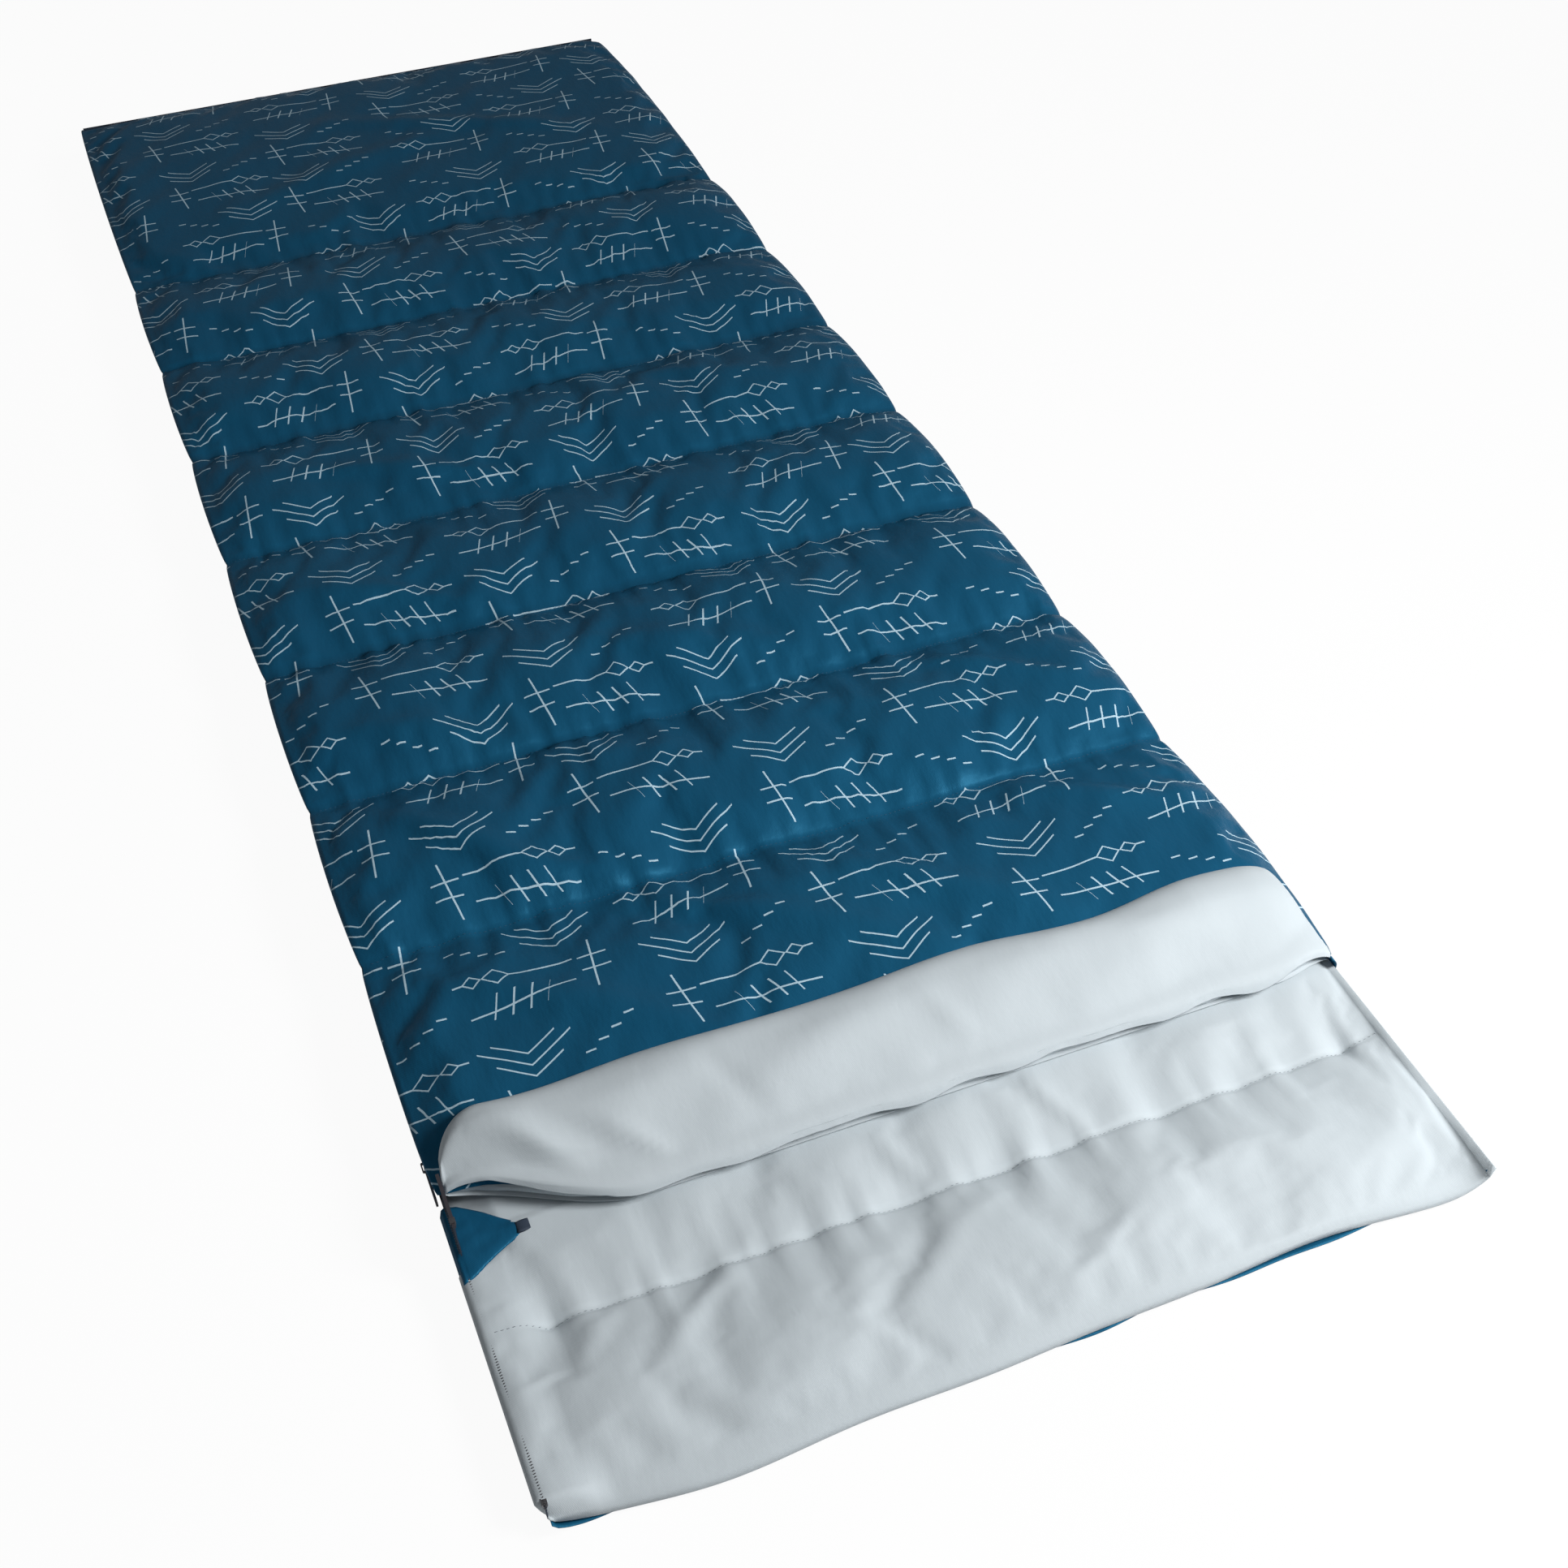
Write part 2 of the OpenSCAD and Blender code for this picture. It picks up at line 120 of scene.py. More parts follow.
def cover_faces(x, y):
    """Heights of the cover's underside and top."""
    r, c = shoulder(x), crown(panel_share(y, COVER_LINES))
    level = np.interp(y, COVER_LINES[:, 0], COVER_LINES[:, 1])
    thick = np.interp(y, COVER_LINES[:, 0], COVER_LINES[:, 2])
    edge = mix(hem_height(x, COVER_ZIP_HEM, COVER_CLOSED_HEM), level, r)
    low = mix(edge, COVER_SAG, r * c)
    high = mix(edge + mix(HEM_THICK, thick, r), COVER_LOFT, r * c)
    return low, high


def waves(x, y, seed, long_x, long_y, count=9):
    """Soft seeded unevenness from -1 to 1, about long_x by long_y from crest to crest."""
    rng = np.random.default_rng(seed)
    total = np.zeros_like(x)
    for _ in range(count):
        kx, ky = rng.normal(0, 1, 2)
        total += np.sin(6.28 * (kx * x / long_x + ky * y / long_y) + rng.uniform(0, 6.28))
    return total / math.sqrt(count)


def smooth_step(t):
    t = np.clip(t, 0, 1)
    return t * t * (3 - 2 * t)


def mouth_line(x):
    """How far the opening draws back towards the foot beside the turned-in corner."""
    return 52 * MM * smooth_step((-0.232 - x) / 0.145) + 9 * MM * smooth_step((x - 0.32) / 0.055)


def draw_back(x, y):
    """Carries the mouth of the cover back with its opening."""
    return y + mouth_line(x) * np.clip(1 - (y - MOUTH) / (95 * MM), 0, 1)


def ticks(x, y, seams, seed, reach=9 * MM):
    """Small sharp puckers right beside the seams."""
    fine = np.clip(waves(x, y * 0.1, seed, 24 * MM, 80 * MM, 12), -1.5, 1.5)
    return fine * np.exp(-seam_distance(y, seams) / reach)


def seam_distance(y, seams):
    return np.min([np.abs(y - s) for s in seams], axis=0)


def gathers(x, y, seams, seed, reach=28 * MM):
    """Puckers that run out of the seams and fade, 1 at their strongest."""
    d = seam_distance(y, seams)
    fine = waves(x, y * 0.25, seed, 42 * MM, 60 * MM, 12)
    coarse = waves(x, y * 0.3, seed + 1, 110 * MM, 160 * MM, 7)
    patchy = 0.75 + 0.35 * waves(x, y, seed + 2, 300 * MM, 500 * MM, 5)
    return (fine * np.exp(-d / reach) + 0.7 * coarse * np.exp(-d / (2.4 * reach))) * patchy


def fold_line(x, y, ends, width, height):
    """One soft fold from ends[0] to ends[1], highest in its middle."""
    (x0, y0), (x1, y1) = ends
    length = math.hypot(x1 - x0, y1 - y0)
    ux, uy = (x1 - x0) / length, (y1 - y0) / length
    along = ((x - x0) * ux + (y - y0) * uy) / length
    off = (x - x0) * -uy + (y - y0) * ux + 0.1 * length * (along - 0.5) ** 2
    ramp = np.sin(np.pi * np.clip(along, 0, 1)) ** 0.8
    return height * ramp * np.exp(-((off / width) ** 2))


# ---------------------------------------------------------------- finishes


class Value:
    """A number or colour that varies over a surface, with arithmetic."""

    def __init__(self, finish, socket):
        self.finish, self.socket = finish, socket

    def math(self, operation, *others):
        return self.finish.node("ShaderNodeMath", {"operation": operation}, self, *others)

    def __add__(self, other):
        return self.math("ADD", other)

    def __sub__(self, other):
        return self.math("SUBTRACT", other)

    def __mul__(self, other):
        return self.math("MULTIPLY", other)

    def __truediv__(self, other):
        return self.math("DIVIDE", other)

    def __lt__(self, other):
        return self.math("LESS_THAN", other)

    def __gt__(self, other):
        return self.math("GREATER_THAN", other)

    def __rsub__(self, other):
        return self.finish.node("ShaderNodeMath", {"operation": "SUBTRACT"}, other, self)

    def __abs__(self):
        return self.math("ABSOLUTE")

    __radd__, __rmul__ = __add__, __mul__


class Finish:
    """A material, and the one method that makes its nodes."""

    def __init__(self, name):
        self.material = bpy.data.materials.new(name)
        self.material.use_nodes = True
        self.tree = self.material.node_tree
        self.surface = self.tree.nodes["Principled BSDF"]

    def node(self, kind, settings=None, *values, out=0, **named):
        made = self.tree.nodes.new(kind)
        for key, value in (settings or {}).items():
            if key == "stops":
                for k, (place, colour) in enumerate(value):
                    stop = made.color_ramp.elements
                    stop = stop[k] if k < 2 else stop.new(place)
                    stop.position, stop.color = place, (*colour, 1)
            else:
                setattr(made, key, value)
        pairs = list(enumerate(values)) + [(k.replace("_", " "), v) for k, v in named.items()]
        for key, value in pairs:
            self.feed(made.inputs[key], value)
        return Value(self, made.outputs[out])

    def feed(self, socket, value):
        if isinstance(value, Value):
            self.tree.links.new(value.socket, socket)
        elif value is not None:
            if socket.type == "RGBA" and len(value) == 3:
                value = (*value, 1)
            socket.default_value = value

    def set(self, **values):
        for key, value in values.items():
            self.feed(self.surface.inputs[key.replace("_", " ")], value)
        return self

    def place(self, turn=(0, 0, 0), stretch=(1, 1, 1)):
        """Where a point is on its piece, turned and stretched."""
        at = self.node("ShaderNodeTexCoord", out="Object")
        return self.node("ShaderNodeMapping", {}, at, (0, 0, 0), turn, stretch)

    def axes(self, at):
        split = self.node("ShaderNodeSeparateXYZ", {}, at)
        made = split.socket.node
        return [Value(self, made.outputs[k]) for k in range(3)]

    def speckle(self, at, size, detail=2.0, rough=0.5):
        """Noise from 0 to 1, its grains size metres apart."""
        return self.node(
            "ShaderNodeTexNoise", {}, at, Scale=1 / size, Detail=detail, Roughness=rough
        )

    def tint(self, share, a, b):
        made = self.node("ShaderNodeMix", {"data_type": "RGBA"}, share, out=2)
        self.feed(made.socket.node.inputs[6], a)
        self.feed(made.socket.node.inputs[7], b)
        return made

    def bump(self, height, depth, strength=1.0, under=None):
        made = self.node("ShaderNodeBump", {}, Strength=strength, Distance=depth, Height=height)
        if under is not None:
            self.feed(made.socket.node.inputs["Normal"], under)
        return made


def woven(finish, a, b, thread):
    """A plain weave over two directions: 0 between the threads, 1 on them."""
    turn = math.tau / thread / 2
    return (a * turn).math("SINE") * (b * turn).math("SINE") * 0.5 + 0.5


def cloth_finish(name, colour, light, thread, rough, sheen, gloss, crease, printed=None, shine=(1, 1, 1)):
    """Woven cloth: creases, weave, slight colour variation and sheen."""
    f = Finish(name)
    at = f.place()
    x, y, z = f.axes(at)
    cloud = f.speckle(f.place(stretch=(1, 0.6, 1)), 120 * MM, 3)
    creases = f.speckle(f.place(turn=(0, 0, 0.25), stretch=(1, 0.45, 1)), 26 * MM, 4, 0.55)
    ridges = abs(f.speckle(f.place(turn=(0, 0, -0.3), stretch=(1.6, 0.5, 1)), 60 * MM, 3) - 0.5)
    threads = woven(f, x, y, thread)
    shade = f.tint(cloud, colour, light)
    shade = f.tint(threads * 0.16, shade, [c * 0.55 for c in colour])
    if printed:
        shade = printed(f, x, y, shade)
    normal = f.bump(creases, crease, 0.7)
    normal = f.bump(ridges, crease * 0.8, 0.5, normal)
    normal = f.bump(threads, thread * 0.25, 0.35, normal)
    f.set(Base_Color=shade, Normal=normal, Roughness=cloud * 0.12 + (rough - 0.06))
    f.set(Sheen_Weight=sheen, Sheen_Roughness=0.4, Specular_IOR_Level=gloss, Specular_Tint=shine)
    return f.material


PRINT = (0.52, 0.70, 0.80)
LINE = 1.7 * MM


def line_print(f, x, y, ground):
    """Pale nested chevrons, diamonds on a line, dashes and crossed strokes, half a drop apart."""
    wide, tall = 150 * MM, 134 * MM
    u = x / wide + 40.13
    column = u.math("FLOOR")
    v = y / tall + 40.31 + column.math("MODULO", 2.0) * 0.5
    row = v.math("FLOOR")
    cell = f.node("ShaderNodeCombineXYZ", {}, column, row, 0.0)
    chance = f.node("ShaderNodeTexWhiteNoise", {"noise_dimensions": "3D"}, cell, out="Color")
    ra, rb, rc = f.axes(chance)
    flip = ((ra > 0.5) * 2 - 1)
    px = ((u - column - 0.5) * wide + (rb - 0.5) * 16 * MM) * flip
    py = (v - row - 0.5) * tall + (rc - 0.5) * 14 * MM
    sway = (px * 38 + rc * 6).math("SINE") * 1.6 * MM
    py = py + sway

    def inside(value, low, high):
        return (value > low) * (value < high)

    # three nested chevrons
    ax = abs(px + 28 * MM)
    slope = py - ax * 0.62
    marks = (ax < 38 * MM) * (abs(slope - 22 * MM) < LINE / 2)
    for drop, reach in ((34 * MM, 26 * MM), (11 * MM, 27 * MM)):
        marks = marks.math("MAXIMUM", (ax < reach) * (abs(slope - drop) < LINE / 2))
    # two diamonds on a long line
    for cx, size in ((30 * MM, 11 * MM), (50 * MM, 7.5 * MM)):
        ring = abs(px - cx) + abs(py + 14 * MM) * 1.2
        marks = marks.math("MAXIMUM", abs(ring - size) < LINE * 0.62)
    string = abs(py + 14 * MM) < LINE / 2
    string = string * (inside(px, -34 * MM, 19 * MM) + inside(px, 57.5 * MM, 66 * MM))
    marks = marks.math("MAXIMUM", string)
    # short dashes, each a little higher than the last
    step = ((px - 14 * MM) / (13 * MM)).math("FLOOR")
    rung = py - 16 * MM - step * 7 * MM
    beat = ((px - 14 * MM) / (13 * MM)).math("FRACT")
    dash = (abs(rung) < LINE / 2) * (beat < 0.66) * inside(px, 14 * MM, 66 * MM)
    marks = marks.math("MAXIMUM", dash)
    # a low stroke crossed by three slanting ones
    low = (abs(py + 44 * MM + px * 0.1) < LINE / 2) * inside(px, -30 * MM, 60 * MM)
    lean = px + py * 0.35
    bars = abs((lean / (15 * MM)).math("FRACT") - 0.5) < LINE / 2 / (15 * MM)
    bars = bars * inside(lean, -22 * MM, 23 * MM) * inside(py, -56 * MM, -32 * MM)
    marks = marks.math("MAXIMUM", low).math("MAXIMUM", bars)
    # one upright stroke with two ticks
    post = (abs(px + 52 * MM + py * 0.12) < LINE / 2) * inside(py, -56 * MM, 4 * MM)
    crossbars = (abs(abs(py + 24 * MM) - 8 * MM) < LINE / 2) * inside(px, -63 * MM, -38 * MM)
    marks = marks.math("MAXIMUM", post).math("MAXIMUM", crossbars)
    worn = f.speckle(f.place(), 5 * MM, 2) * 0.35 + 0.68
    return f.tint(marks * worn, ground, PRINT)


BLUE = (0.0060, 0.068, 0.140)
BLUE_LIGHT = (0.0080, 0.088, 0.172)
TEAL = (0.12, 0.62, 1.0)
GREY = (0.50, 0.555, 0.585)
GREY_LIGHT = (0.54, 0.595, 0.625)

SHELL = (BLUE, BLUE_LIGHT, 0.7 * MM, 0.46, 0.0, 0.45, 2.6 * MM)
shell_print = cloth_finish("shell_print", *SHELL, printed=line_print, shine=TEAL)
shell_plain = cloth_finish("shell_plain", *SHELL, shine=TEAL)
lining = cloth_finish("lining", GREY, GREY_LIGHT, 0.6 * MM, 0.66, 0.04, 0.3, 0.9 * MM)


def fibre_finish():
    f = Finish("wadding")
    fibres = f.speckle(f.place(stretch=(1, 3, 1)), 2.5 * MM, 5, 0.7)
    clumps = f.speckle(f.place(), 18 * MM, 2)
    f.set(Base_Color=f.tint(clumps, (0.80, 0.80, 0.77), (0.88, 0.88, 0.86)))
    f.set(Normal=f.bump(fibres + clumps, 1.5 * MM), Roughness=fibres * 0.1 + 0.88)
    f.set(Sheen_Weight=0.2)
    return f.material


def tape_finish():
    """Herringbone tape."""
    f = Finish("zip_tape")
    x, y, z = f.axes(f.place())
    run = y + x
    bone = (abs((z / (3 * MM)).math("FRACT") - 0.5) * 3 * MM + run) / (0.9 * MM)
    ribs = (bone * math.tau).math("SINE") * 0.5 + 0.5
    f.set(Base_Color=f.tint(ribs * 0.5, (0.020, 0.032, 0.055), (0.036, 0.054, 0.086)))
    f.set(Normal=f.bump(ribs, 0.15 * MM, 0.8), Roughness=ribs * 0.1 + 0.68)
    return f.material


def coil_finish():
    f = Finish("coil")
    worn = f.speckle(f.place(), 6 * MM, 3)
    f.set(Base_Color=f.tint(worn, (0.030, 0.027, 0.032), (0.060, 0.054, 0.062)))
    f.set(Roughness=worn * 0.16 + 0.28, Normal=f.bump(worn, 0.05 * MM, 0.4))
    return f.material


def metal_finish(name, colour, edge):
    """Satin die-cast metal with worn, brighter high spots."""
    f = Finish(name)
    grain = f.speckle(f.place(stretch=(1, 6, 1)), 0.8 * MM, 3)
    worn = f.speckle(f.place(), 5 * MM, 4, 0.6)
    f.set(Base_Color=f.tint(worn, colour, edge), Metallic=1.0)
    f.set(Roughness=worn * 0.18 + 0.26, Normal=f.bump(grain + worn, 0.06 * MM, 0.5))
    return f.material


def thread_finish(name, a, b):
    f = Finish(name)
    twist = f.speckle(f.place(), 1.2 * MM, 2)
    f.set(Base_Color=f.tint(twist, a, b), Roughness=twist * 0.1 + 0.55)
    f.set(Normal=f.bump(twist, 0.1 * MM, 0.6))
    return f.material


wadding = fibre_finish()
tape = tape_finish()
coil = coil_finish()
zip_metal = metal_finish("zip_metal", (0.19, 0.185, 0.195), (0.34, 0.33, 0.34))
pull_metal = metal_finish("pull_metal", (0.16, 0.155, 0.165), (0.32, 0.31, 0.32))
blue_thread = thread_finish("blue_thread", (0.010, 0.050, 0.095), (0.016, 0.075, 0.14))
grey_thread = thread_finish("grey_thread", (0.12, 0.14, 0.16), (0.20, 0.23, 0.25))


# ---------------------------------------------------------------- making pieces


def keep(name, bm, finish, smooth=True):
    """Turns a finished bmesh into a piece of that name."""
    mesh = bpy.data.meshes.new(name)
    bm.to_mesh(mesh)
    bm.free()
    mesh.polygons.foreach_set("use_smooth", [smooth] * len(mesh.polygons))
    piece = bpy.data.objects.new(name, mesh)
    bpy.context.scene.collection.objects.link(piece)
    mesh.materials.append(finish)
    return piece


def stations(*stops):
    """Places from stop to stop, each (place, step up to the next)."""
    found = []
    for (a, step), (b, _) in zip(stops, stops[1:]):
        found += list(np.linspace(a, b, max(2, round((b - a) / step) + 1)))[:-1]
    return np.array(found + [stops[-1][0]])


def cloth_grid(name, us, vs, shape, finish, loop=False):
    """A grid of cloth: shape gives the place of each pair of us and vs. With loop, us closes on itself."""
    bm = bmesh.new()
    nu, nv = len(us), len(vs)
    bmesh.ops.create_grid(bm, x_segments=nu - 1, y_segments=nv - 1, size=1)
    bm.verts.ensure_lookup_table()
    at = np.array([v.co[:2] for v in bm.verts])
    i = np.rint((at[:, 0] + 1) / 2 * (nu - 1)).astype(int)
    j = np.rint((at[:, 1] + 1) / 2 * (nv - 1)).astype(int)
    for v, p in zip(bm.verts, np.stack(shape(us[i], vs[j]), 1)):
        v.co = p
    if loop:
        bmesh.ops.remove_doubles(bm, verts=bm.verts, dist=0.02 * MM)
    return keep(name, bm, finish)


def on_seams(rows, seams):
    """Moves the row of a grid that is nearest to each seam onto it."""
    for seam in seams:
        rows[np.argmin(np.abs(rows - seam))] = seam
    return rows


def close_up(piece, capped=True):
    """Caps the open ends of a piece and turns all its faces outwards."""
    bm = bmesh.new()
    bm.from_mesh(piece.data)
    if capped:
        bmesh.ops.holes_fill(bm, edges=[e for e in bm.edges if e.is_boundary])
    bmesh.ops.recalc_face_normals(bm, faces=bm.faces)
    bm.to_mesh(piece.data)
    bm.free()


def points(piece):
    co = np.empty(len(piece.data.vertices) * 3)
    piece.data.vertices.foreach_get("co", co)
    return co.reshape(-1, 3)


def move_points(piece, co):
    piece.data.vertices.foreach_set("co", co.ravel())
    piece.data.update()


def thicken(piece, thick, offset=-1):
    m = piece.modifiers.new("thickness", "SOLIDIFY")
    m.thickness, m.offset = thick, offset
    return piece


def settle(piece, held, slack, pressure, cap, frames=16, bending=0.4):
    """Lets the piece settle as cloth between the points that are held, moving by cap at most."""
    before = points(piece)
    group = piece.vertex_groups.new(name="held")
    group.add([int(k) for k in np.flatnonzero(held(before))], 1.0, "REPLACE")
    m = piece.modifiers.new("cloth", "CLOTH")
    s = m.settings
    s.quality = 4
    s.mass = 0.1
    s.tension_stiffness = s.compression_stiffness = 12
    s.shear_stiffness = 4
    s.bending_stiffness = bending
    s.vertex_group_mass = "held"
    s.shrink_min = -slack
    s.use_pressure = True
    s.uniform_pressure_force = pressure
    s.effector_weights.gravity = 0
    m.collision_settings.use_self_collision = False
    m.collision_settings.use_collision = False
    m.point_cache.frame_start, m.point_cache.frame_end = 1, frames
    for k in range(1, frames + 1):
        bpy.context.scene.frame_set(k)
    settled = piece.evaluated_get(bpy.context.evaluated_depsgraph_get())
    after = np.empty(len(before) * 3)
    settled.data.vertices.foreach_get("co", after)
    step = after.reshape(-1, 3) - before
    far = np.linalg.norm(step, axis=1, keepdims=True)
    step *= np.minimum(1, cap / np.maximum(far, 1e-9))
    piece.modifiers.remove(m)
    piece.vertex_groups.clear()
    bpy.context.scene.frame_set(1)
    move_points(piece, before + step)


def surface_of(piece):
    bm = bmesh.new()
    bm.from_mesh(piece.data)
    tree = BVHTree.FromBMesh(bm)
    bm.free()
    return tree


def stitch_rows(name, rows, tree, finish, length=3.2 * MM, gap=1.2 * MM, thick=0.5 * MM):
    """Rows of stitches laid on a surface from above. Each row is a list of points over it."""
    bm = bmesh.new()
    ray = Vector((0, 0, -1))
    for row in rows:
        row = [Vector(p) for p in row]
        for a, b in zip(row, row[1:]):
            run = b - a
            count = max(1, round(run.length / (length + gap)))
            for k in range(count):
                mid = a + run * ((k + 0.5) / count)
                place, normal, _, _ = tree.ray_cast(mid - ray * 0.1, ray)
                if place is None:
                    continue
                normal = -normal if normal.dot(ray) > 0 else normal
                ahead = run.normalized()
                across = normal.cross(ahead).normalized()
                up = ahead.cross(across).normalized()
                turn = Matrix((ahead, across, up)).transposed().to_4x4()
                size = Matrix.Diagonal((length / 2, thick / 2, thick / 2, 1))
                lift = Matrix.Translation(place + normal * thick * 0.25)
                bmesh.ops.create_icosphere(bm, subdivisions=1, radius=1, matrix=lift @ turn @ size)
    return keep(name, bm, finish)


def dress(name, finish):
    """Gives a node of the frame its finish."""
    slots = nodes[name].data.materials
    if len(slots):
        for k in range(len(slots)):
            slots[k] = finish
    else:
        slots.append(finish)


# ---------------------------------------------------------------- the cover

COVER_FOLDS = [
    (((-0.30, -0.50), (0.02, -0.66)), 16 * MM, 4.5 * MM),
    (((-0.34, -0.62), (-0.10, -0.80)), 15 * MM, 4 * MM),
    (((-0.20, -0.56), (0.10, -0.78)), 14 * MM, 4 * MM),
    (((-0.02, -0.60), (0.20, -0.78)), 16 * MM, 4 * MM),
    (((0.10, -0.52), (0.33, -0.68)), 15 * MM, 4 * MM),
    (((-0.33, -0.30), (-0.05, -0.44)), 16 * MM, 4 * MM),
    (((-0.10, -0.26), (0.18, -0.38)), 18 * MM, 3 * MM),
    (((-0.34, -0.40), (-0.20, -0.56)), 14 * MM, 4.5 * MM),
    (((0.14, -0.36), (0.34, -0.50)), 14 * MM, 3 * MM),
    (((-0.32, -0.08), (-0.08, -0.20)), 15 * MM, 2.6 * MM),
    (((-0.30, 0.14), (-0.02, 0.03)), 14 * MM, 2.4 * MM),
    (((0.0, 0.22), (0.30, 0.10)), 16 * MM, 2.2 * MM),
    (((-0.28, 0.72), (0.10, 0.86)), 20 * MM, 3 * MM),
    (((-0.10, 0.95), (0.30, 0.78)), 18 * MM, 3 * MM),
]
ZIP_BULGE = 19 * MM


def side_bulge(x, out):
    """How far the loft carries the cloth out over its own side hem."""
    d = SIDE - np.abs(x)
    return np.sign(x) * out * np.exp(-((d / (15 * MM)) ** 2)) * (1 - np.exp(-d / (3 * MM)))


def soft_limit(rise, down, up):
    """Rounds off a rise so that it stays between -down and up."""
    down = np.maximum(down, 0.05 * MM)
    return np.where(rise < 0, -down * np.tanh(-rise / down), up * np.tanh(rise / up))


def cover_top(u, v):
    low, high = cover_faces(u, v)
    c = crown(panel_share(v, COVER_LINES)) * shoulder(u)
    z = high + c * 2.6 * MM * waves(u, v, 3, 420 * MM, 330 * MM)
    z += c * 1.0 * MM * waves(u, v, 4, 90 * MM, 120 * MM)
    z += 3.0 * MM * gathers(u, v, COVER_SEAMS, 11) * shoulder(u)
    z += 1.6 * MM * ticks(u, v, COVER_SEAMS, 12) * shoulder(u)
    for ends, width, height in COVER_FOLDS:
        z += 2.3 * c * fold_line(u, v, ends, width, height)
    z = high + soft_limit(z - high, 5 * MM * np.sqrt(c), 9 * MM)
    puffed = crown(panel_share(v, COVER_LINES))
    x = u + side_bulge(u, ZIP_BULGE) * mix(0.62, 1, puffed) * np.where(u < 0, 1, 0.6)
    at_foot = np.clip((v - FOOT + 30 * MM) / (30 * MM), 0, 1)
    y = draw_back(u, v) + 3 * MM * at_foot * waves(u, 0 * v, 14, 330 * MM, 1.0, 7)
    return x, y, z


def hems_and_seams(seams, low_y, high_y):
    def held(co):
        on_side = SIDE - np.abs(co[:, 0]) < 3 * MM
        on_seam = seam_distance(co[:, 1], list(seams)) < 3.4 * MM
        on_end = (co[:, 1] < low_y + 12 * MM) | (co[:, 1] > high_y - 9 * MM)
        return on_side | on_seam | on_end

    return held


across = stations((-SIDE, 3 * MM), (-SIDE + 36 * MM, 7 * MM), (SIDE - 36 * MM, 3 * MM), (SIDE, 1))
cover_along = on_seams(stations((MOUTH, 7 * MM), (FOOT, 1)), COVER_SEAMS)

cover_cloth = cloth_grid("cover_cloth", across, cover_along, cover_top, shell_print)
settle(cover_cloth, hems_and_seams(COVER_SEAMS, MOUTH, FOOT), 0.02, 0.9, 8 * MM)
cover_tree = surface_of(cover_cloth)
thicken(cover_cloth, 0.7 * MM)
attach(cover_cloth, "cover")
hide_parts("cover_shell")


def cover_under(u, v):
    low, high = cover_faces(u, v)
    z = low + 0.5 * MM * gathers(u, v, COVER_SEAMS, 21) * shoulder(u)
    return u + 0 * v, draw_back(u, v), np.maximum(z, 31 * MM * (shoulder(u) > 0.5))


wide_across = stations((-SIDE, 4 * MM), (-SIDE + 40 * MM, 9 * MM), (SIDE - 40 * MM, 4 * MM), (SIDE, 1))
lining_along = on_seams(stations((MOUTH, 8 * MM), (FOOT, 1)), COVER_SEAMS)
cover_inside = cloth_grid("cover_inside", wide_across, lining_along, cover_under, lining)
thicken(cover_inside, 0.6 * MM, 1)
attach(cover_inside, "cover")
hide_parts("cover_lining")


def pads(name, lines, faces, body, node):
    """The wadding of each panel as a soft pad with rounded edges."""
    bm = bmesh.new()
    for a, b in zip(lines, lines[1:]):
        for v in bmesh.ops.create_grid(bm, x_segments=60, y_segments=12, size=1)["verts"]:
            x = v.co.x * (SIDE - 14 * MM)
            y = mix(a[0] + 12 * MM, b[0] - 12 * MM, (v.co.y + 1) / 2)
            low, high = faces(np.array(x), np.array(y))
            v.co = (x, y, float(low + high) / 2)
    piece = keep(name, bm, wadding)
    co = points(piece)
    if body == "cover":
        co[:, 1] = draw_back(co[:, 0], co[:, 1])
        move_points(piece, co)
    low, high = faces(co[:, 0], co[:, 1])
    share = np.clip(panel_share(co[:, 1], lines), 0, 1)
    round_off = np.clip(np.minimum(share, 1 - share) / 0.12, 0, 1) ** 0.5
    half = np.maximum((high - low) / 2 - 7 * MM, 0.3 * MM) * (0.25 + 0.75 * round_off)
    bm = bmesh.new()
    bm.from_mesh(piece.data)
    bm.verts.ensure_lookup_table()
    for v, h in zip(bm.verts, half):
        v.co.z += h
    both = bmesh.ops.extrude_face_region(bm, geom=bm.faces[:])
    for v, h in zip([g for g in both["geom"] if isinstance(g, bmesh.types.BMVert)], half):
        v.co.z -= 2 * h
    bmesh.ops.recalc_face_normals(bm, faces=bm.faces)
    bm.to_mesh(piece.data)
    bm.free()
    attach(piece, body)
    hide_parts(node)


pads("cover_wadding", COVER_LINES, cover_faces, "cover", "cover_fill")

# ---------------------------------------------------------------- the base


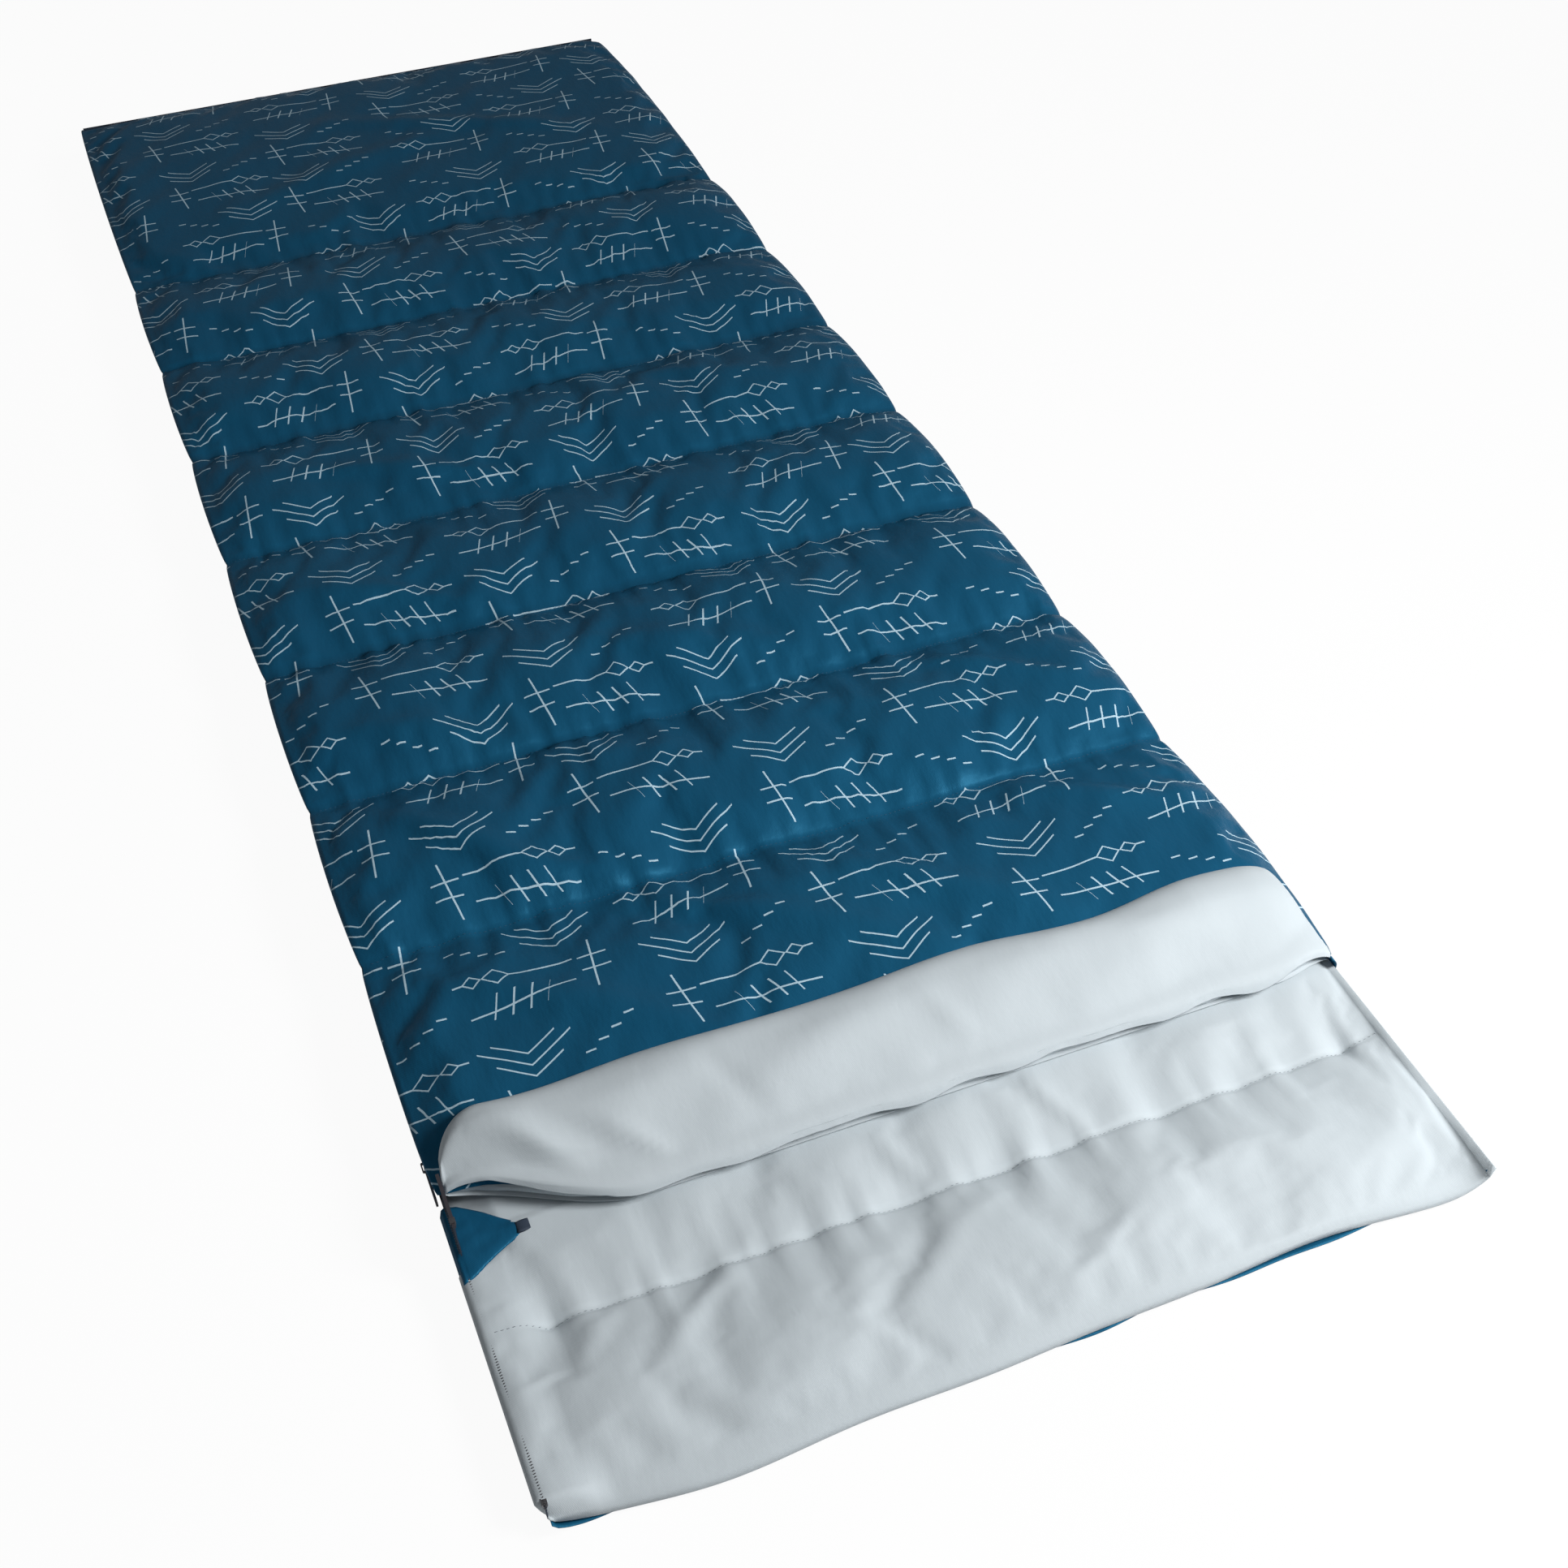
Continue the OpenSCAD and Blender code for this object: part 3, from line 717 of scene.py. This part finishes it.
def base_top(u, v):
    low, high = base_faces(u, v)
    c = crown(panel_share(v, BASE_LINES)) * shoulder(u)
    near = np.clip((MOUTH + 40 * MM - v) / (60 * MM), 0, 1)
    z = high + near * c * 2.2 * MM * waves(u, v, 31, 260 * MM, 150 * MM)
    z += near * 4.2 * MM * gathers(u, v, BASE_SEAMS, 33, 24 * MM) * shoulder(u)
    z += near * 2.8 * MM * ticks(u, v, BASE_SEAMS, 39, 13 * MM) * shoulder(u)
    for ends, width, height in MOUTH_FOLDS:
        z += near * shoulder(u) * fold_line(u, v, ends, width, height)
    z = high + soft_limit(z - high, 3.5 * MM, 7 * MM)
    # beside the mouth the lining rolls out over the coil
    free = np.clip((MOUTH + 2 * MM - v) / (12 * MM), 0, 1) * np.clip((v - HEAD) / (14 * MM), 0, 1)
    free = free * (u < 0)
    d = (u + SIDE) / (34 * MM)
    hem_x = np.interp(d, ROLL_D, [k * MM for k in ROLL_X])
    hem_z = np.interp(d, ROLL_D, [k * MM for k in ROLL_Z])
    share = free * np.clip((1.25 - d) / 0.35, 0, 1)
    x = mix(u, -SIDE + hem_x, share)
    z = mix(z, hem_z + (z - high) * np.clip(d, 0, 1), share)
    edge = np.clip((v - HEAD) / (12 * MM), 0, 1)
    y = v + (1 - edge) * 4 * MM * waves(u, 0 * v, 35, 420 * MM, 1.0, 7)
    return x, y, z


# The side of the lining from its hem inwards: share of the way, then out and up in mm
ROLL_D = [0, 0.12, 0.26, 0.4, 0.54, 0.7, 0.85, 1, 1.3]
ROLL_X = [-2.5, -6, -7.4, -6, -1.2, 8, 18, 28, 44.2]
ROLL_Z = [17, 21, 25.2, 28.8, 30.6, 30.4, 28.6, 26.6, 26.4]

MOUTH_FOLDS = [
    (((-0.28, -1.02), (-0.16, -0.93)), 12 * MM, 4 * MM),
    (((-0.10, -1.05), (0.02, -0.96)), 13 * MM, 3 * MM),
    (((-0.33, -1.00), (-0.27, -0.94)), 10 * MM, 3 * MM),
    (((0.12, -1.00), (0.34, -1.03)), 14 * MM, 3 * MM),
    (((0.20, -0.90), (0.33, -0.93)), 10 * MM, 4 * MM),
    (((-0.05, -0.89), (-0.03, -0.94)), 10 * MM, 4 * MM),
    (((0.08, -0.885), (0.11, -0.94)), 9 * MM, 4 * MM),
    (((0.0, -1.07), (0.16, -1.02)), 16 * MM, 2.5 * MM),
]
base_along = on_seams(stations((HEAD, 3 * MM), (MOUTH + 60 * MM, 9 * MM), (FOOT, 1)), BASE_SEAMS)
base_inside = cloth_grid("base_inside", across, base_along, base_top, lining)
settle(base_inside, hems_and_seams(BASE_SEAMS, HEAD, FOOT), 0.007, 0.6, 4 * MM)
co = points(base_inside)
co[:, 2] = np.where(co[:, 1] > MOUTH + 20 * MM, np.minimum(co[:, 2], 28.5 * MM), co[:, 2])
move_points(base_inside, co)
base_tree = surface_of(base_inside)
thicken(base_inside, 0.7 * MM)
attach(base_inside, "base")
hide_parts("base_lining")


def base_under(u, v):
    low, high = base_faces(u, v)
    bulge = side_bulge(u, 5 * MM) * crown(panel_share(v, BASE_LINES))
    edge = np.clip((v - HEAD) / (12 * MM), 0, 1)
    y = v + (1 - edge) * 3 * MM * waves(u, 0 * v, 37, 260 * MM, 1.0, 7) + (1 - edge) * 2.5 * MM
    return u + bulge, y, np.maximum(low, 0.2 * MM)


base_low_along = on_seams(stations((HEAD, 4 * MM), (HEAD + 40 * MM, 9 * MM), (FOOT, 1)), BASE_SEAMS)
base_outside = cloth_grid("base_outside", wide_across, base_low_along, base_under, shell_plain)
thicken(base_outside, 0.7 * MM, 1)
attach(base_outside, "base")
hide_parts("base_shell")
pads("base_wadding", BASE_LINES, base_faces, "base", "base_fill")

# ---------------------------------------------------------------- the cuff

CUFF_WIDE = 105 * MM
CORNER = 45 * MM
CUFF_SIDE = SIDE - 1.5 * MM


def cuff_far(x):
    d = np.clip((x + CUFF_SIDE) / CORNER, 0, 1)
    soft = 3.5 * MM * waves(x, 0 * x, 55, 330 * MM, 1.0, 7) * np.clip(d, 0, 1)
    return soft + CUFF_NEAR - 1 * MM + CUFF_WIDE - CORNER * (1 - np.sqrt(np.maximum(0, 1 - (1 - d) ** 2)))


def cuff_rise(share):
    """The roll climbs softly from its near lip and turns down sharply at its far fold."""
    t = np.clip(share / 0.66, 0, 1)
    near = mix(t, t * t * (3 - 2 * t), 0.6)
    far = np.sqrt(1 - np.clip((share - 0.72) / 0.28, 0, 1) ** 2.6 * 0.86)
    return mix(0.5 * MM, 23 * MM, near) * far


def cuff_bed(v, y):
    """What the roll lies on: the cover, and past its mouth a short way down to the base."""
    _, bed = cover_faces(v, np.maximum(y, MOUTH))
    past = np.clip((MOUTH + mouth_line(v) - 1 * MM - y) / (6 * MM), 0, 1)
    return bed - 6 * MM * past ** 1.3 * mix(0.3, 1, shoulder(v))


def cuff_top(v, share):
    lip = 5 * MM * (1 + 0.35 * waves(v, 0 * v, 56, 90 * MM, 1.0, 9))
    y = mix(CUFF_NEAR - lip + mouth_line(v), cuff_far(v), share)
    bed = cuff_bed(v, y)
    soft = 1.7 * MM * waves(v, y, 51, 240 * MM, 130 * MM) * np.sin(np.pi * share)
    soft += 1.9 * MM * waves(v, y * 0.35, 52, 55 * MM, 80 * MM, 12) * np.exp(-share * 6)
    soft += 1.3 * MM * waves(v + (y + 0.88) * 0.6, y * 0.2, 53, 26 * MM, 60 * MM, 12) * np.exp(-share * 9)
    for ends, width, height in CUFF_FOLDS:
        soft += fold_line(v, y, ends, width, height)
    side = mix(0.25, 1, shoulder(v)) * mix(0.45, 1, np.clip((SIDE - v) / (95 * MM), 0, 1) ** 0.6)
    rise = 0.9 * MM + cuff_rise(share) * side + soft * shoulder(v)
    return y, bed + np.maximum(rise, 4.2 * MM * smooth_step(share / 0.03) + 1.5 * MM)


CUFF_FOLDS = [
    (((-0.345, -0.80), (-0.255, -0.862)), 7 * MM, 4 * MM),
    (((-0.335, -0.835), (-0.20, -0.87)), 6 * MM, -3.5 * MM),
    (((-0.25, -0.83), (-0.19, -0.88)), 6 * MM, 3.5 * MM),
    (((-0.33, -0.79), (-0.27, -0.87)), 9 * MM, 3.5 * MM),
    (((-0.30, -0.80), (-0.22, -0.875)), 8 * MM, -3 * MM),
    (((0.02, -0.80), (0.06, -0.87)), 10 * MM, 2.5 * MM),
    (((0.14, -0.79), (0.30, -0.84)), 14 * MM, 3 * MM),
    (((-0.16, -0.80), (-0.12, -0.87)), 9 * MM, -2.5 * MM),
]


def cuff_roll(u, v):
    """u runs round the roll from its near edge over the top, v across the bag."""
    share = (1 - np.cos(u)) / 2
    y, high = cuff_top(v, share)
    round_off = np.abs(np.sin(u)) ** 0.7
    low = cuff_bed(v, y) + 0.3 * MM
    face = np.where(np.sin(u) >= 0, high, low)
    return v + 0 * u, y, mix((low + high) / 2, face, round_off)


round_cuff = np.linspace(0, math.tau, 61)
cuff_across = stations(
    (-CUFF_SIDE, 2.5 * MM), (-CUFF_SIDE + 40 * MM, 6 * MM), (CUFF_SIDE - 40 * MM, 2.5 * MM), (CUFF_SIDE, 1)
)
cuff_cloth = cloth_grid("cuff_cloth", round_cuff, cuff_across, cuff_roll, lining, loop=True)
close_up(cuff_cloth)
cuff_cloth.data.polygons.foreach_set("use_smooth", [True] * len(cuff_cloth.data.polygons))
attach(cuff_cloth, "cuff")
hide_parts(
    "cuff_lining", "cuff_under_lining", "cuff_upper_fill", "cuff_lower_fill", "cuff_shell"
)

# From under the cover's lip round to the top of the cuff, as [mm along, mm up]
NOSE = [(-866, 33.0), (-872, 33.6), (-876.5, 35), (-878.5, 37), (-878.8, 39.5), (-878, 41.5), (-876, 43)]
NOSE_TOP = [0.03, 0.05, 0.07, 0.09]


def nose_shape(u, v):
    place = np.arange(len(NOSE) + len(NOSE_TOP))
    tops = [cuff_top(v, np.full_like(v, t)) for t in NOSE_TOP]
    wob = waves(v, 0 * u, 61, 150 * MM, 1.0, 9)
    fine = waves(v, 0 * u, 62, 40 * MM, 1.0, 9)
    r = shoulder(v)
    ys, zs = [], []
    for k, (y, z) in enumerate(NOSE):
        out = math.sin(math.pi * min(1, k / 5)) * (1.2 * wob + 0.5 * fine)
        ys.append((y - out) * MM + mouth_line(v))
        zs.append(mix(43 * MM + 0 * v, z * MM + wob * 1.1 * MM, mix(0.5, 1, r)))
    for y, z in tops:
        ys.append(y)
        zs.append(z - 2.2 * MM)
    ys, zs = np.array(ys), np.array(zs)
    k = np.clip(np.floor(u).astype(int), 0, len(place) - 2)
    f = u - k
    n = np.arange(len(u))
    return v + 0 * u, mix(ys[k, n], ys[k + 1, n], f), mix(zs[k, n], zs[k + 1, n], f)


nose = cloth_grid("fold_cloth", np.linspace(0, 10, 41), cuff_across, nose_shape, lining)
thicken(nose, 0.7 * MM, 0)
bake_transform(nose)

# ---------------------------------------------------------------- the turned-in corner

# The corner from its hem inwards: out, up, and its foot and head edges, in mm
FLAP_X = [-3.2, -5.6, -6.6, -4.8, 0, 7, 15, 25, 34, 43, 48]
FLAP_Z = [14, 19, 25, 30.6, 32.4, 32.2, 31.6, 31.2, 31.0, 30.8, 30.4]
FLAP_FOOT = [-840, -838, -836, -834, -832, -834, -839, -846, -854, -861, -865]
FLAP_HEAD = [-897, -900, -902, -903, -902, -898, -892, -886, -881, -877, -874]


def flap_shape(u, v):
    place = np.arange(len(FLAP_X))
    x = -SIDE + np.interp(u, place, FLAP_X) * MM
    z = np.interp(u, place, FLAP_Z) * MM
    foot, head = (np.interp(u, place, k) * MM for k in (FLAP_FOOT, FLAP_HEAD))
    y = mix(foot, head, v)
    puff = np.sin(np.pi * np.clip(v, 0, 1)) ** 0.6 * np.clip(u / 4, 0, 1)
    z = z - 2.6 * MM * (1 - puff) * (u > 3.5) + 0.5 * MM * waves(x, y, 81, 30 * MM, 24 * MM) * puff
    return x, y, z


flap = cloth_grid("turned_corner", np.linspace(0, 10, 41), np.linspace(0, 1, 25), flap_shape, shell_plain)
close_up(flap, capped=False)
thicken(flap, 0.9 * MM, -1)
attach(flap, "base")
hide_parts("corner_flap")


def tab_shape(u, v):
    """A short webbing tab, folded on itself and sewn in at the tip."""
    turn = math.tau * u
    y = -870 * MM + (v - 0.5) * 9 * MM
    x = -SIDE + 49 * MM + 5.2 * MM * np.cos(turn)
    z = 30.6 * MM + 1.5 * MM * np.sin(turn) * (1 - 0.25 * np.cos(turn))
    return x, y + 0.6 * MM * np.cos(turn), z


tab = cloth_grid("corner_tab", np.linspace(0, 1, 25), np.linspace(0, 1, 9), tab_shape, tape, loop=True)
close_up(tab)
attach(tab, "base")
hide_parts("flap_tab")

# ---------------------------------------------------------------- the closed side


def closed_side_shape(u, v):
    turn = (u - 0.5) * math.pi * 0.9
    x = SIDE - 3 * MM + 4.6 * MM * np.cos(turn)
    z = SPLIT + 8 * MM * np.sin(turn) / math.sin(math.pi * 0.45)
    return x + 0.5 * MM * waves(v, 0 * v, 71, 160 * MM, 1.0), v + 0 * u, z


side_along = stations((MOUTH, 10 * MM), (FOOT, 1))
side_cloth = cloth_grid("closed_side", np.linspace(0, 1, 13), side_along, closed_side_shape, shell_plain)
thicken(side_cloth, 0.6 * MM, 0)
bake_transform(side_cloth)

# ---------------------------------------------------------------- the zip

ROW_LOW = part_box("base_zip_coil")
ROW_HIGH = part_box("cover_zip_coil")
ZIP_X = ROW_LOW[0][0] + 1.3 * MM


def coil_turns(name, start, step, count, low, high, finish=coil):
    """A row of nylon turns, each bowed round the row, joined to the next by its own pitch."""
    bm = bmesh.new()
    mid, reach = (low + high) / 2, (high - low) / 2
    wire = 0.42 * MM
    # a grid closed both ways: ten steps round the turn, four round its wire
    for v in bmesh.ops.create_grid(bm, x_segments=10, y_segments=4, size=1)["verts"]:
        turn = math.tau * round((v.co.x + 1) * 5) / 10
        round_wire = math.tau * round((v.co.y + 1) * 2) / 4
        c, s = math.cos(turn), math.sin(turn)
        bow = 0.95 * MM * math.copysign(abs(c) ** 0.8, c)
        out, side = wire * math.cos(round_wire), wire * math.sin(round_wire)
        v.co = (bow + c * out, 0.5 * MM * c + side, (reach + out) * s)
    bmesh.ops.remove_doubles(bm, verts=bm.verts, dist=0.001 * MM)
    along = Vector(step).normalized()
    if abs(along.x) > 0.5:
        bmesh.ops.rotate(bm, verts=bm.verts, matrix=Matrix.Rotation(math.pi / 2, 3, "Z"))
    bmesh.ops.translate(bm, verts=bm.verts, vec=Vector(start) + Vector((0, 0, mid)))
    bmesh.ops.recalc_face_normals(bm, faces=bm.faces)
    piece = keep(name, bm, finish)
    m = piece.modifiers.new("turns", "ARRAY")
    m.count = count
    m.use_relative_offset, m.use_constant_offset = False, True
    m.constant_offset_displace = step
    return piece


TURN = 2.3 * MM
FOOT_ZIP_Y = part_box("base_zip_tape")[1][1] - 0.45 * MM
for body, row, name, y0, low, high, shift in (
    ("base", ROW_LOW, "base_zip_coil", ROW_LOW[0][1], SPLIT - 3.6 * MM, SPLIT + 0.3 * MM, 0),
    ("cover", ROW_HIGH, "cover_zip_coil", ROW_HIGH[0][1], SPLIT - 0.3 * MM, SPLIT + 3.6 * MM, 0.5),
):
    count = int((FOOT_ZIP_Y - y0) / TURN)
    first = (ZIP_X, y0 + (0.5 + shift) * TURN, 0)
    side = coil_turns(body + "_teeth", first, (0, TURN, 0), count, low, high)
    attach(side, body)
    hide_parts(name)
    wide = int((ROW_LOW[1][0] - ZIP_X) / TURN)
    first = (ZIP_X + (0.7 + shift) * TURN, FOOT_ZIP_Y, 0)
    end = coil_turns(body + "_foot_teeth", first, (TURN, 0, 0), wide, low, high)
    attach(end, body)

for name in ("base_zip_tape", "cover_zip_tape", "cuff_zip_tape"):
    dress(name, tape)
for name in ("base_top_stop", "foot_stop", "cover_top_stop", "slider_body", "outer_bridge", "inner_bridge"):
    dress(name, zip_metal)
for name in ("outer_pull", "inner_pull"):
    dress(name, pull_metal)
dress("cuff_zip_coil", coil)
dress("draught_baffle", lining)

# ---------------------------------------------------------------- seams

rows = [[(-SIDE + 3 * MM, y, 0.05), (SIDE - 3 * MM, y, 0.05)] for y in COVER_SEAMS]
thread = stitch_rows("cover_seams", rows, cover_tree, blue_thread)
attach(thread, "cover")
rows = [[(-SIDE + 3 * MM, y, 0.02), (SIDE - 3 * MM, y, 0.02)] for y in BASE_SEAMS]
thread = stitch_rows("base_seams", rows, base_tree, grey_thread)
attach(thread, "base")

# ---------------------------------------------------------------- floor, lights, camera


def floor():
    bm = bmesh.new()
    bmesh.ops.create_grid(bm, x_segments=2, y_segments=2, size=12)
    f = Finish("floor")
    soft = f.speckle(f.place(), 0.4, 2)
    f.set(Base_Color=f.tint(soft, (0.86, 0.86, 0.86), (0.88, 0.88, 0.88)), Roughness=0.85)
    f.set(Specular_IOR_Level=0.1)
    seen = f.node("ShaderNodeLightPath", out="Is Camera Ray")
    glow = f.node("ShaderNodeEmission", {}, (1, 1, 1, 1), 1.0)
    joined = f.node("ShaderNodeMixShader", {}, seen * 0.95)
    made = joined.socket.node
    f.tree.links.new(f.surface.outputs[0], made.inputs[1])
    f.tree.links.new(glow.socket, made.inputs[2])
    f.tree.links.new(made.outputs[0], f.tree.nodes["Material Output"].inputs["Surface"])
    piece = keep("floor", bm, f.material)


floor()


def lamp(name, place, target, size, power, colour=(1, 1, 1)):
    data = bpy.data.lights.new(name, "AREA")
    data.shape, data.size, data.energy, data.color = "DISK", size, power, colour
    piece = bpy.data.objects.new(name, data)
    bpy.context.scene.collection.objects.link(piece)
    piece.location = place
    piece.rotation_euler = (Vector(target) - Vector(place)).to_track_quat("-Z", "Y").to_euler()


lamp("key", (1.05, -1.5, 1.2), (0.0, -0.7, 0), 0.6, 30.5)
sun = bpy.data.objects.new("window", bpy.data.lights.new("window", "SUN"))
bpy.context.scene.collection.objects.link(sun)
sun.data.energy, sun.data.angle = 0.65, 0.35
sun.rotation_euler = Vector((-0.9, 0.55, -0.7)).to_track_quat("-Z", "Y").to_euler()

world = bpy.data.worlds.new("studio")
bpy.context.scene.world = world
world.use_nodes = True
world.node_tree.nodes["Background"].inputs["Color"].default_value = (0.95, 0.97, 1, 1)
world.node_tree.nodes["Background"].inputs["Strength"].default_value = 0.16

camera = bpy.data.objects.new("camera", bpy.data.cameras.new("camera"))
bpy.context.scene.collection.objects.link(camera)
camera.data.lens, camera.data.sensor_width = 47.2, 36
camera.data.clip_end = 60
right = Vector((0.928, -0.372, -0.014)).normalized()
back = -Vector((0.2617, 0.6810, -0.6839)).normalized()
up = back.cross(right).normalized()
right = up.cross(back)
turned = Matrix((right, up, back)).transposed().to_4x4()
camera.matrix_world = Matrix.Translation((-0.460, -1.782, 1.321)) @ turned
bpy.context.scene.camera = camera
bpy.context.scene.view_settings.view_transform = "Standard"
